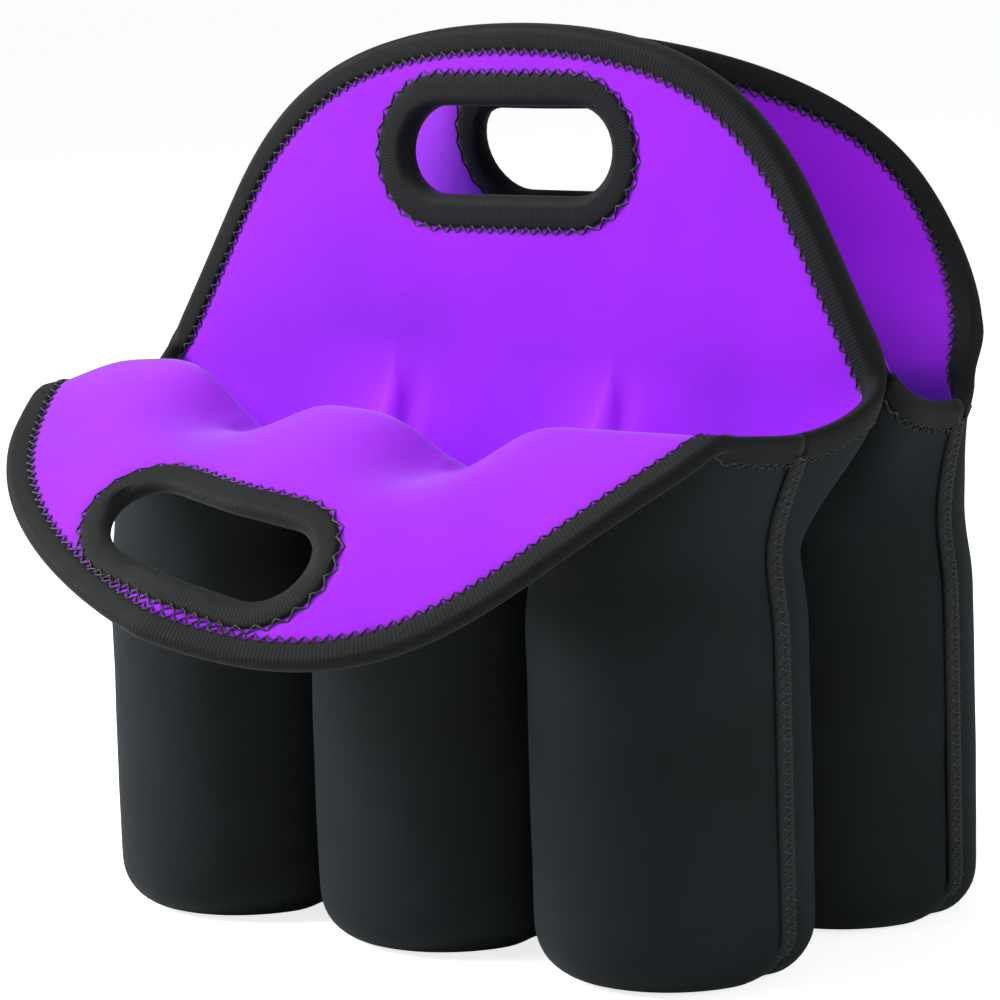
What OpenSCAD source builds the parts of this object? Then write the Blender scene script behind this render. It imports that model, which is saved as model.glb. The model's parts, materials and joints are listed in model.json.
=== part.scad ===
// Six pack carrier: a padded cloth tote with six round-bottomed bottle pockets in two rows of three.
// Three arched panels with handle holes rise from the rows: the front one lies folded forward,
// the middle one stands up, and the back one leans in against it.
// X runs to the right along the rows, Y to the back, Z up. The origin is on the ground, under the
// centre of the whole carrier.

/* [Pockets] */
// Outer diameter of a filled pocket
pocket_d = 74; // [66:1:84]
// Outer diameter of a pocket near its mouth, where the cloth draws in
mouth_d = 70; // [62:1:73]
// Height of a pocket's straight wall
pocket_h = 140; // [120:1:170]
// Height at which the pocket starts to draw in
waist_z = 92; // [60:1:100]
// Height over which the pocket draws in
waist_l = 20; // [8:1:30]
// Rounding between a pocket's wall and its flat base
base_round = 13; // [8:1:18]
// Gap between two pockets in a row, which the divider seam closes
pocket_gap = 2.2; // [1.5:0.1:5]
// Gap between the front row and the rear row
row_gap = 4.4; // [3:0.1:8]

/* [Cloth] */
// Thickness of the black outer layer
shell_t = 1.9; // [1.2:0.1:3]
// Thickness of the coloured inner layer
lining_t = 1.5; // [1:0.1:2.5]
// Width of a divider seam, front to back
divider_w = 7; // [4:0.5:12]
// Width of a side seam
seam_w = 6; // [4:0.5:10]
// How far a side seam stands proud of the cloth
seam_proud = 0.8; // [0.4:0.1:1.5]

/* [Panels] */
// How far each panel's corners stand out past the row
panel_flare = 7.8; // [4:0.2:12]
// Height of the arch above the panel's corners
panel_h = 88; // [75:1:110]
// Length of the arch's straight sides
panel_side_l = 46; // [30:1:55]
// Angle of the arch's straight sides from level
panel_side_angle = 60; // [50:1:75]
// How far the flat top of the arch reaches to each side
panel_top_pull = 56; // [40:1:70]
// How far the arch's shoulders carry on in line with its sides
panel_shoulder_pull = 36; // [20:1:45]
// Height of the middle panel's fold above the pockets
mid_rise = 18.5; // [14:0.5:26]

/* [Bindings] */
// Width of the tape along a panel's edge
edge_w = 7; // [5:0.5:10]
// Width of the tape round a handle hole
handle_edge_w = 9; // [6:0.5:12]
// Thickness of the tape on each face of the cloth
tape_t = 1; // [0.6:0.1:1.5]
// Depth to which the tape covers the cut edge of the cloth, measured from the tape's outside
tape_wrap = 1; // [0.6:0.1:1.8]

/* [Handles] */
// Width of a handle hole
handle_w = 72; // [65:1:100]
// Height of a handle hole
handle_h = 27; // [24:1:34]
// Height of a handle hole's centre above the panel's corners
handle_z = 54; // [46:1:62]

/* [Front flap] */
// Length of the flap's root, before the arch begins
flap_root_l = 10; // [6:1:20]
// How far the fold lies inside the front of the pockets
flap_inset = 6; // [4:1:12]
// Height of the fold above the pockets
flap_rise = 9; // [7:0.5:14]
// Slope at which the flap leaves the fold
flap_slope = 13; // [5:1:25]
// Further slope that the flap gains on its way to the tip
flap_bend = 34; // [10:1:45]
// How much steeper the right edge slopes than the middle, and the left edge less
flap_twist = 16; // [0:1:20]
// How far the flap's tip swings to the left
flap_swing = 11; // [0:1:15]
// Depth of the dips that the flap has between the pockets
flap_dip = 9; // [0:0.5:10]

/* [Back flap] */
// How far the back panel's fold lies inside the mouths of the rear pockets
back_inset = 5; // [3:0.5:10]
// Height of the back panel's fold above the pockets
back_rise = 6.5; // [5:0.5:12]
// Depth to which the back panel is drawn in between the pockets
back_dip = 10; // [0:0.5:12]
// How far the back panel's tip stays behind the middle plane
back_tip_y = 11; // [9:0.5:20]
// How steeply the back panel leaves its fold, as travel forward for each unit of rise
back_lean = 0.95; // [0.8:0.05:1.2]
// How far the back panel's sides curl away from its middle, at the level of its tip
back_cup = 90; // [40:5:110]

/* [Centre] */
// How far the rows' joined backs reach past the outer pockets' centre lines
web_reach = 8; // [4:1:20]

/* [Fits] */
// Gap between a hinged panel and the cloth that carries it
fold_gap = 0.4; // [0.3:0.1:1]
// How far the middle panel leans forward at most, in degrees
mid_lean = 8; // [4:1:15]
// Gap between the cloth and the tape that wraps it
tape_gap = 0.34; // [0.1:0.02:0.4]
// Gap between a row's side edge and the tape beside it
rim_gap = 0.3; // [0.2:0.1:0.6]
// Gap between the pockets' rims and the cloth above them
seat_gap = 0.2; // [0.1:0.05:0.4]
// Depth below the rims at which a divider stops
divider_drop = 1.2; // [1:0.1:4]

/* [Hidden] */
$fn = 64;

black = [0.12, 0.13, 0.15];
purple = [0.68, 0.27, 0.98];
tape_black = [0.06, 0.06, 0.07];

cloth_t = shell_t + lining_t;
pocket_r = pocket_d / 2;
mouth_r = mouth_d / 2;
pitch_x = pocket_d + pocket_gap;
pitch_y = pocket_d + row_gap;
row_y = pitch_y / 2;
row_hw = pitch_x + pocket_r;
panel_hw = row_hw + panel_flare;
rim_hw = pitch_x + mouth_r;

// Folds: each hinged panel turns about a level line along X
front_fold_y = -(row_y + pocket_r - flap_inset);
front_fold_z = pocket_h + flap_rise;
back_fold_y = row_y + mouth_r - back_inset;
back_fold_z = pocket_h + back_rise;
mid_fold_z = pocket_h + mid_rise;
flap_l = flap_root_l + panel_h;
panel_top_z = mid_fold_z + panel_h;
back_l = panel_top_z - back_fold_z;

// How far below a fold the edge of what stays still lies. A flap turns its cut edge right round,
// and the middle panel only dips a corner of its edge.
fold_clear = cloth_t / 2 + 2 * fold_gap;
mid_clear = (cloth_t + tape_t) * sin(mid_lean) + fold_gap;
collar_hw = panel_hw - edge_w - fold_gap;

arch_steps = 16;
base_steps = 32;
side_steps = 4;
hole_steps = 40;
ring_shares = [0, 0.12, 0.3, 0.5, 0.7, 0.86, 1];

function unit(v) = v / norm(v);
function mix(p, q, t) = p + (q - p) * t;
function bezier(p, t) =
    p[0] * pow(1 - t, 3) + 3 * p[1] * t * pow(1 - t, 2) + 3 * p[2] * t * t * (1 - t) + p[3] * pow(t, 3);
function bezier_slope(p, t) =
    3 * (p[1] - p[0]) * pow(1 - t, 2) + 6 * (p[2] - p[1]) * t * (1 - t) + 3 * (p[3] - p[2]) * t * t;

// The right half of an arched panel, from its base corner up to the top, drawn in by d.
// [a, b] is across and up, and root is the length below the arch's corners.
side_dir = [-cos(panel_side_angle), sin(panel_side_angle)];
side_end = [panel_hw, 0] + panel_side_l * side_dir;
arch_curve = [
    side_end, side_end + panel_shoulder_pull * side_dir,
    [panel_top_pull, panel_h], [0, panel_h]
];
function half_arch(d, root) = concat(
    root > 0 ? [for (i = [0:side_steps - 1]) [panel_hw - d, i * root / side_steps]] : [],
    [for (i = [0:side_steps - 1])
        [panel_hw - d, root] + side_dir * panel_side_l * i / side_steps
        + (i == 0 ? [0, 0] : d * [1 - side_dir[1], -cos(panel_side_angle)])],
    [for (i = [0:arch_steps])
        let (s = unit(bezier_slope(arch_curve, i / arch_steps)))
        bezier(arch_curve, i / arch_steps) + [0, root] + d * [-s[1], s[0]]]
);
function arch(d, root) =
    let (half = half_arch(d, root), n = len(half))
    concat(half, [for (i = [n - 2:-1:0]) [-half[i][0], half[i][1]]]);
function base_line(d) = [for (i = [1:base_steps - 1]) [mix(-(panel_hw - d), panel_hw - d, i / base_steps), 0]];

// Distance from the middle of a handle hole to its edge, widened by d, in direction [c, s]
function hole_reach(c, s, d) =
    let (r = handle_h / 2 + d, flat = (handle_w - handle_h) / 2, t = r / max(abs(s), 0.0001))
    t * abs(c) <= flat ? t : flat * abs(c) + sqrt(pow(flat * c, 2) - flat * flat + r * r);
function hole_point(v, z, d) = let (u = unit(v)) [0, z] + u * hole_reach(u[0], u[1], d);
function hole_loop(z, d) = [for (i = [0:hole_steps - 1])
    let (t = 360 * i / hole_steps) hole_point([1.8 * cos(t), sin(t)], z, d)];

// The dips between the pockets: 0 over a pocket's middle, 1 between two, fading out along the cloth
dip_sharpness = 1.7;
function dip_share(a) = abs(a) < pitch_x ? pow((1 - cos(360 * a / pitch_x)) / 2, dip_sharpness) : 0;
function dip_fade(t) = t < 0.5 ? (1 + cos(360 * t)) / 2 : 0;

// Front flap: a is across, b is the distance along the cloth from the fold
function front_sheet(a, b) =
    let (
        w = a / panel_hw,
        t = b / flap_l,
        slope = flap_slope + flap_twist * w + flap_bend * t / 2,
        dip = flap_dip * dip_share(a) * dip_fade(t)
    )
    [a - flap_swing * t, front_fold_y - b * cos(slope), front_fold_z - b * sin(slope) - dip];

// Back flap: b is the height above its fold
function back_sheet(a, b) =
    let (
        w = a / panel_hw,
        t = b / back_l,
        slow = (back_lean * back_l - (back_fold_y - back_tip_y)) / (back_l * back_l)
    )
    [a, back_fold_y - back_lean * b + slow * b * b + back_cup * t * w * w
        - back_dip * dip_share(a) * dip_fade(t), back_fold_z + b];

// The normal points down on the front flap, and to the inside on the back flap
function sheet_normal(f, a, b) =
    unit(cross(f(a + 0.5, b) - f(a - 0.5, b), f(a, b + 0.5) - f(a, b - 0.5)));
function sheet_point(f, p, d) = f(p[0], p[1]) + d * sheet_normal(f, p[0], p[1]);

// The carrier's reach to the front and back decides where its middle is
front_reach = max([for (p = arch(0, flap_root_l), s = [-1, 1])
    -sheet_point(function (a, b) front_sheet(a, b), p, s * (cloth_t / 2 + tape_t))[1]]);
back_reach = row_y + pocket_r;
origin_shift = (front_reach - back_reach) / 2;

// A closed skin over rows of points: upper and lower are the same grid on the two faces.
// With loop, the last column joins the first.
module slab(upper, lower, loop) {
    rows = len(upper);
    cols = len(upper[0]);
    half = rows * cols;
    spans = loop ? cols : cols - 1;
    quads = concat(
        [for (i = [0:rows - 2], j = [0:spans - 1])
            let (k = (j + 1) % cols) [i * cols + j, i * cols + k, (i + 1) * cols + k, (i + 1) * cols + j]],
        [for (i = [0:rows - 2], j = [0:spans - 1])
            let (k = (j + 1) % cols)
            [half + i * cols + j, half + (i + 1) * cols + j, half + (i + 1) * cols + k, half + i * cols + k]],
        [for (j = [0:spans - 1]) let (k = (j + 1) % cols) [j, half + j, half + k, k]],
        [for (j = [0:spans - 1])
            let (k = (j + 1) % cols, m = (rows - 1) * cols) [m + k, half + m + k, half + m + j, m + j]],
        loop ? [] : [for (i = [0:rows - 2])
            [i * cols, (i + 1) * cols, half + (i + 1) * cols, half + i * cols]],
        loop ? [] : [for (i = [0:rows - 2])
            let (m = cols - 1)
            [(i + 1) * cols + m, i * cols + m, half + i * cols + m, half + (i + 1) * cols + m]]
    );
    triangles = [for (q = quads, t = [[q[0], q[1], q[2]], [q[0], q[2], q[3]]]) t];
    points = concat([for (r = upper, p = r) p], [for (r = lower, p = r) p]);
    polyhedron(points, triangles);
}

// A channel of tape: rings are its sections, of 8 points each, in order along the edge
module channel(rings, loop) {
    n = len(rings);
    spans = loop ? n : n - 1;
    quads = concat(
        [for (j = [0:spans - 1], k = [0:7])
            let (m = (j + 1) % n, l = (k + 1) % 8) [j * 8 + k, j * 8 + l, m * 8 + l, m * 8 + k]],
        loop ? [] : [for (c = [[0, 7, 6, 1], [1, 6, 5, 2], [2, 5, 4, 3]]) c],
        loop ? [] : [for (c = [[0, 1, 6, 7], [1, 2, 5, 6], [2, 3, 4, 5]]) [for (i = c) (n - 1) * 8 + i]]
    );
    triangles = [for (q = quads, t = [[q[0], q[1], q[2]], [q[0], q[2], q[3]]]) t];
    polyhedron([for (r = rings, p = r) p], triangles);
}

// One layer of a hinged panel, between depths d0 and d1 across the cloth
module sheet_layer(f, root, hole_z, d0, d1) {
    outer = concat(arch(tape_wrap, root), base_line(tape_wrap));
    hole = [0, hole_z];
    rows = [for (s = ring_shares)
        [for (p = outer) mix(hole_point(p - hole, hole_z, tape_wrap), p, s)]];
    slab(
        [for (r = rows) [for (p = r) sheet_point(f, p, d1)]],
        [for (r = rows) [for (p = r) sheet_point(f, p, d0)]],
        true
    );
}

// A section of tape round the cloth's edge: p is on the cut edge, q is inside it
function tape_section(f, p, q, w) =
    let (
        u = unit(q - p),
        wrap = p + u * (tape_wrap - tape_gap),
        inner = p + u * w,
        t_in = cloth_t / 2 + tape_gap,
        t_out = cloth_t / 2 + tape_t
    )
    [
        sheet_point(f, inner, t_out), sheet_point(f, p, t_out),
        sheet_point(f, p, -t_out), sheet_point(f, inner, -t_out),
        sheet_point(f, inner, -t_in), sheet_point(f, wrap, -t_in),
        sheet_point(f, wrap, t_in), sheet_point(f, inner, t_in)
    ];

module edge_tape(f, root) {
    outer = arch(0, root);
    inner = arch(edge_w, root);
    channel([for (i = [0:len(outer) - 1]) tape_section(f, outer[i], inner[i], edge_w)], false);
}

module handle_tape(f, hole_z) {
    inner = hole_loop(hole_z, 0);
    outer = hole_loop(hole_z, handle_edge_w);
    channel([for (i = [len(inner) - 1:-1:0]) tape_section(f, inner[i], outer[i], handle_edge_w)], true);
}

module handle_hole(d) {
    flat = (handle_w - handle_h) / 2;
    for (s = [-1, 1]) translate([s * flat, handle_z]) circle(r = handle_h / 2 + d);
    translate([-flat, handle_z - handle_h / 2 - d]) square([2 * flat, handle_h + 2 * d]);
}

// Stands a flat drawing of the middle panel up in its plane, between depths y0 and y1
module upright(y0, y1) {
    translate([0, y1, mid_fold_z]) rotate([90, 0, 0]) linear_extrude(y1 - y0) children();
}

// The section of a pocket at depth d inside its outer face, from the middle of its base to its mouth
function pocket_wall(d) = concat(
    [[0, d]],
    [for (t = [-90:15:0]) [pocket_r - base_round + (base_round - d) * cos(t),
        base_round + (base_round - d) * sin(t)]],
    [for (i = [0:4]) let (t = i / 4)
        [mix(pocket_r, mouth_r, (1 - cos(180 * t)) / 2) - d, waist_z + waist_l * t]],
    [[mouth_r - d, pocket_h]]
);

module pocket_layer(d0, d1) {
    inside = pocket_wall(d1);
    rotate_extrude($fn = 96)
        polygon(concat(pocket_wall(d0), [for (i = [len(inside) - 1:-1:0]) inside[i]]));
}

module place(column, row) {
    translate([column * pitch_x, row * row_y + origin_shift, 0]) children();
}

module pocket(column, row) color(black) place(column, row) pocket_layer(0, shell_t);

module pocket_lining(column, row) color(purple) place(column, row) pocket_layer(shell_t, cloth_t);

module pocket_core() {
    rotate_extrude($fn = 96) polygon(concat(pocket_wall(0), [[0, pocket_h]]));
}

// The stitched web between two pockets of a row
module divider(side, row) color(black) difference() {
    translate([side * pitch_x / 2 - pitch_x / 4, row * row_y + origin_shift - divider_w / 2, base_round])
        cube([pitch_x / 2, divider_w, pocket_h - divider_drop - base_round]);
    for (c = [0, side]) place(c, row) pocket_core();
}

// A flat-stitched seam down the outer side of a row, which turns under the pocket's base
module side_seam(side, row) color(tape_black) place(side, row) intersection() {
    pocket_layer(-seam_proud, 0);
    translate([side < 0 ? -row_hw : pocket_r - base_round, -seam_w / 2, seam_proud])
        cube([row_hw - pocket_r + base_round, seam_w, pocket_h]);
}

// The joined backs of the two rows, below the middle panel's fold
module centre_web() color(black) translate([0, origin_shift, 0]) difference() {
    translate([-pitch_x - web_reach, -row_gap / 2, base_round])
        cube([2 * (pitch_x + web_reach), row_gap, mid_fold_z - mid_clear - base_round]);
    for (c = [-1:1], r = [-1, 1]) translate([c * pitch_x, r * row_y, 0]) pocket_core();
}

// Cloth between the pockets' mouths and a fold, at distance e out from its inner face. side is 1 for
// the outer wall of a row and -1 for its inner wall, and the row is the rear one. top holds the
// inner face's distance from the middle at the fold, its height, the half width there, and how far
// it dips inward and down between the pockets, where the cloth lies flat.
collar_angles = [0:12:180];
function collar_row(t, top, side, e) = [for (c = [-1:1], a = collar_angles)
    let (
        // Between the pockets the outer wall lies nearly flat, so its thickness is upward there
        r = mouth_r - (cloth_t - e) * (side > 0 ? sin(a) : 1),
        lift = (cloth_t - e) * (1 - (side > 0 ? pow(sin(a), 4) : sin(a))),
        p = [c * pitch_x - r * cos(a), row_y + side * r * sin(a), pocket_h + seat_gap + lift],
        x_top = (c * pitch_x - mouth_r * cos(a)) * top[2] / rim_hw,
        dip = dip_share(x_top),
        turn = 90 * dip,
        q = [x_top, top[0] + side * e * cos(turn) - top[3] * dip, top[1] - e * sin(turn) - top[4] * dip]
    ) mix(p, q, t)];
module collar_layer(top, side, e0, e1) {
    inner = [for (t = [0, 0.5, 1]) collar_row(t, top, side, e0)];
    outer = [for (t = [0, 0.5, 1]) collar_row(t, top, side, e1)];
    if (side > 0) slab(outer, inner, false);
    else slab(inner, outer, false);
}

front_top = [-front_fold_y - fold_gap - cloth_t, front_fold_z - fold_clear, collar_hw, 0, flap_dip];
back_top = [back_fold_y - fold_gap - cloth_t, back_fold_z - fold_clear, collar_hw, back_dip, 0];
inner_top = [row_gap / 2 + cloth_t, mid_fold_z - mid_clear, panel_hw, 0, 0];

module to_row(row) translate([0, origin_shift, 0]) mirror([0, row < 0 ? 1 : 0, 0]) children();

module outer_collar(row, layer) color(layer == 0 ? black : purple) to_row(row)
    collar_layer(row < 0 ? front_top : back_top, 1,
        layer == 0 ? lining_t : 0, layer == 0 ? cloth_t : lining_t);

module inner_wall(row, layer) color(layer == 0 ? black : purple) to_row(row)
    collar_layer(inner_top, -1, layer == 0 ? lining_t : 0, layer == 0 ? cloth_t : lining_t);

// Tape on the slanting side edge of a row's inner wall, from the side seam up to the middle panel
module rim_tape(side, row) color(tape_black) to_row(row) {
    r = cloth_t / 2 + tape_t;
    start = [rim_hw + r + rim_gap, row_y, pocket_h + r];
    end = [panel_hw + r + rim_gap, row_gap / 2 + r, inner_top[1] - r];
    mirror([side < 0 ? 1 : 0, 0, 0]) hull() {
        translate(start) sphere(r, $fn = 16);
        translate(end) sphere(r, $fn = 16);
    }
}

module front_cloth(d0, d1) translate([0, origin_shift, 0])
    sheet_layer(function (a, b) front_sheet(a, b), flap_root_l, flap_root_l + handle_z, d0, d1);

module back_cloth(d0, d1) translate([0, origin_shift, 0])
    sheet_layer(function (a, b) back_sheet(a, b), back_l - panel_h, back_l - panel_h + handle_z, d0, d1);

module front_flap() color(black) front_cloth(cloth_t / 2 - shell_t, cloth_t / 2);
module front_flap_lining() color(purple) front_cloth(-cloth_t / 2, cloth_t / 2 - shell_t);
module front_flap_tape() color(tape_black) translate([0, origin_shift, 0])
    edge_tape(function (a, b) front_sheet(a, b), flap_root_l);
module front_handle_tape() color(tape_black) translate([0, origin_shift, 0])
    handle_tape(function (a, b) front_sheet(a, b), flap_root_l + handle_z);

module back_flap() color(black) back_cloth(-cloth_t / 2, -cloth_t / 2 + shell_t);
module back_flap_lining() color(purple) back_cloth(-cloth_t / 2 + shell_t, cloth_t / 2);
module back_flap_tape() color(tape_black) translate([0, origin_shift, 0])
    edge_tape(function (a, b) back_sheet(a, b), back_l - panel_h);
module back_handle_tape() color(tape_black) translate([0, origin_shift, 0])
    handle_tape(function (a, b) back_sheet(a, b), back_l - panel_h + handle_z);

module middle_cloth(y0, y1) color(purple) translate([0, origin_shift, 0]) upright(y0, y1) difference() {
    polygon(arch(tape_wrap, 0));
    handle_hole(tape_wrap);
}
module middle_panel_front() middle_cloth(-cloth_t, 0);
module middle_panel_rear() middle_cloth(0, cloth_t);

// Tape that wraps both layers of the middle panel
module middle_tape(inset) color(tape_black) translate([0, origin_shift, 0]) {
    for (s = [0, 1]) mirror([0, s, 0]) upright(cloth_t + tape_gap, cloth_t + tape_t) children(0);
    upright(-cloth_t - tape_gap, cloth_t + tape_gap) children(1);
}
module middle_panel_tape() middle_tape() {
    difference() { polygon(arch(0, 0)); polygon(arch(edge_w, 0)); }
    difference() { polygon(arch(0, 0)); polygon(arch(tape_wrap - tape_gap, 0)); }
}
module middle_handle_tape() middle_tape() {
    difference() { handle_hole(handle_edge_w); handle_hole(0); }
    difference() { handle_hole(tape_wrap - tape_gap); handle_hole(0); }
}

pocket(-1, -1);  // front_left_pocket
pocket(0, -1);  // front_middle_pocket
pocket(1, -1);  // front_right_pocket
pocket(-1, 1);  // rear_left_pocket
pocket(0, 1);  // rear_middle_pocket
pocket(1, 1);  // rear_right_pocket
pocket_lining(-1, -1);  // front_left_lining
pocket_lining(0, -1);  // front_middle_lining
pocket_lining(1, -1);  // front_right_lining
pocket_lining(-1, 1);  // rear_left_lining
pocket_lining(0, 1);  // rear_middle_lining
pocket_lining(1, 1);  // rear_right_lining
divider(-1, -1);  // front_left_divider
divider(1, -1);  // front_right_divider
divider(-1, 1);  // rear_left_divider
divider(1, 1);  // rear_right_divider
side_seam(-1, -1);  // front_left_side_seam
side_seam(1, -1);  // front_right_side_seam
side_seam(-1, 1);  // rear_left_side_seam
side_seam(1, 1);  // rear_right_side_seam
centre_web();
outer_collar(-1, 0);  // front_collar
outer_collar(-1, 1);  // front_collar_lining
outer_collar(1, 0);  // rear_collar
outer_collar(1, 1);  // rear_collar_lining
inner_wall(-1, 0);  // front_inner_wall
inner_wall(-1, 1);  // front_inner_wall_lining
inner_wall(1, 0);  // rear_inner_wall
inner_wall(1, 1);  // rear_inner_wall_lining
rim_tape(-1, -1);  // front_left_rim_tape
rim_tape(1, -1);  // front_right_rim_tape
rim_tape(-1, 1);  // rear_left_rim_tape
rim_tape(1, 1);  // rear_right_rim_tape
front_flap();
front_flap_lining();
front_flap_tape();
front_handle_tape();
middle_panel_front();
middle_panel_rear();
middle_panel_tape();
middle_handle_tape();
back_flap();
back_flap_lining();
back_flap_tape();
back_handle_tape();
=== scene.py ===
"""Six pack carrier: the stretched cloth, bindings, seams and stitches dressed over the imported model.

Each row of pockets is two half sheets, an outer and an inner one, that meet along the side seams.
A half sheet runs in one piece from the pockets' bases, up their walls, over a fold and into an
arched panel, in a black layer and a coloured layer. Lengths here are millimetres until a mesh is
made, and a point is (x, y, z) in the model's frame.
"""
import json
import logging
import math
from dataclasses import dataclass, field, replace
from enum import Enum

import bpy
import numpy as np
from mathutils import Matrix, Vector, noise
from mathutils.bvhtree import BVHTree
from mathutils.kdtree import KDTree


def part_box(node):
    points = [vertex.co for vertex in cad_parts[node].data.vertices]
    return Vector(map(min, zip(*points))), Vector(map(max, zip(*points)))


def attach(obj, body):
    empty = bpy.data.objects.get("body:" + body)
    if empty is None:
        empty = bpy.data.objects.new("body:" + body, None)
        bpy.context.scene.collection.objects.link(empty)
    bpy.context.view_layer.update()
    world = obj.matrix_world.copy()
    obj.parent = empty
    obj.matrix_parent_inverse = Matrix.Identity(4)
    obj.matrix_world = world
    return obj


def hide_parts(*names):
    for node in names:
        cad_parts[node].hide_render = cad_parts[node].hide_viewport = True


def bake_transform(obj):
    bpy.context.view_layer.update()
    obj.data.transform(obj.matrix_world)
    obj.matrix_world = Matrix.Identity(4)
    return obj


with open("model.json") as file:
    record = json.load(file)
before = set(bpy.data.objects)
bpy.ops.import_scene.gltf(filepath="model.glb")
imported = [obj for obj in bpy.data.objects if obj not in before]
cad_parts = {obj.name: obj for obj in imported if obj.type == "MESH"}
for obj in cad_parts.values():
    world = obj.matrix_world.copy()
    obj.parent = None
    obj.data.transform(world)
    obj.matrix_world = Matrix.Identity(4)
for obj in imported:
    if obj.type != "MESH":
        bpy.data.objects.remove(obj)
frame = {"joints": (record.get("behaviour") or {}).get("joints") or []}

Array, Object, Material, Socket = np.ndarray, bpy.types.Object, bpy.types.Material, bpy.types.NodeSocket
Pair, Triple = tuple[float, float], tuple[float, float, float]
log = logging.getLogger("carrier")
MM = 0.001
SEAM_TOP = (120.0, 144.0)
REAR_SEAM_TOP = (116.0, 144.0)
INNER_GAP = 1.95
OUTER_FLAT, INNER_FLAT = (0.335, 0.29), (0.335, 0.28)
DOUBLE_CLOTH = 5.1
BROAD_SWELL, SMALL_SWELL = 46.0, 17.0
SEWN_FULLNESS, CREASE_PRESS, CREASE_REACH = 0.5, 0.8, 7.0
SEAM_LEAN = 0.35
THREAD = 0.42
THREAD_SECTION = [(THREAD, 0.0), (0.0, THREAD * 0.8), (-THREAD, 0.0), (0.0, -THREAD * 0.8)]
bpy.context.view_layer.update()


class Facing(Enum):
    """Which way a half sheet bulges from its row's middle."""

    FRONT = -1
    BACK = 1


class Side(Enum):
    """A face of the cloth, as a sign along its normal."""

    BLACK = 1
    COLOURED = -1


class Slot(Enum):
    """The record's material slots."""

    BLACK = "black_cloth"
    PURPLE = "purple_cloth"
    TAPE = "binding_tape"


def unit(vectors: Array) -> Array:
    """Vectors along the last axis, each at length one."""
    return vectors / np.maximum(np.linalg.norm(vectors, axis=-1, keepdims=True), 1e-9)


def smooth(x: float) -> float:
    """A soft step from 0 to 1."""
    x = min(max(x, 0.0), 1.0)
    return x * x * (3 - 2 * x)


def hermite(start, start_pull, end, end_pull, t: float) -> Array:
    """A point on a soft curve.

    Args:
        start: Where the curve starts.
        start_pull: Its direction and speed there.
        end: Where it ends.
        end_pull: Its direction and speed there.
        t: How far along, from 0 to 1.

    Returns:
        The point at t.
    """
    t2, t3 = t * t, t * t * t
    return (
        (2 * t3 - 3 * t2 + 1) * start + (t3 - 2 * t2 + t) * start_pull
        + (3 * t2 - 2 * t3) * end + (t3 - t2) * end_pull
    )


def run_length(points: Array) -> Array:
    """How far along a line each of its points lies."""
    return np.concatenate([[0.0], np.cumsum(np.linalg.norm(np.diff(points, axis=0), axis=1))])


def padded(rows: Array, ring: bool) -> Array:
    """Rows with one more at each end, the neighbour in a ring or else the end row again."""
    before, after = (rows[-2:-1], rows[1:2]) if ring else (rows[:1], rows[-1:])
    return np.concatenate([before, rows, after])


def spaced(points: Array, count: int, *others: Array) -> list[Array]:
    """Takes points at even steps along a line.

    Args:
        points: The line's points, one a row.
        count: How many to take.
        others: Arrays with a row for each point, taken at the same places.

    Returns:
        The new points, then the other arrays.
    """
    at = run_length(points)
    wanted = np.linspace(0, at[-1], count)
    return [
        np.column_stack([np.interp(wanted, at, array[:, i]) for i in range(array.shape[1])])
        for array in (points, *others)
    ]


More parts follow.
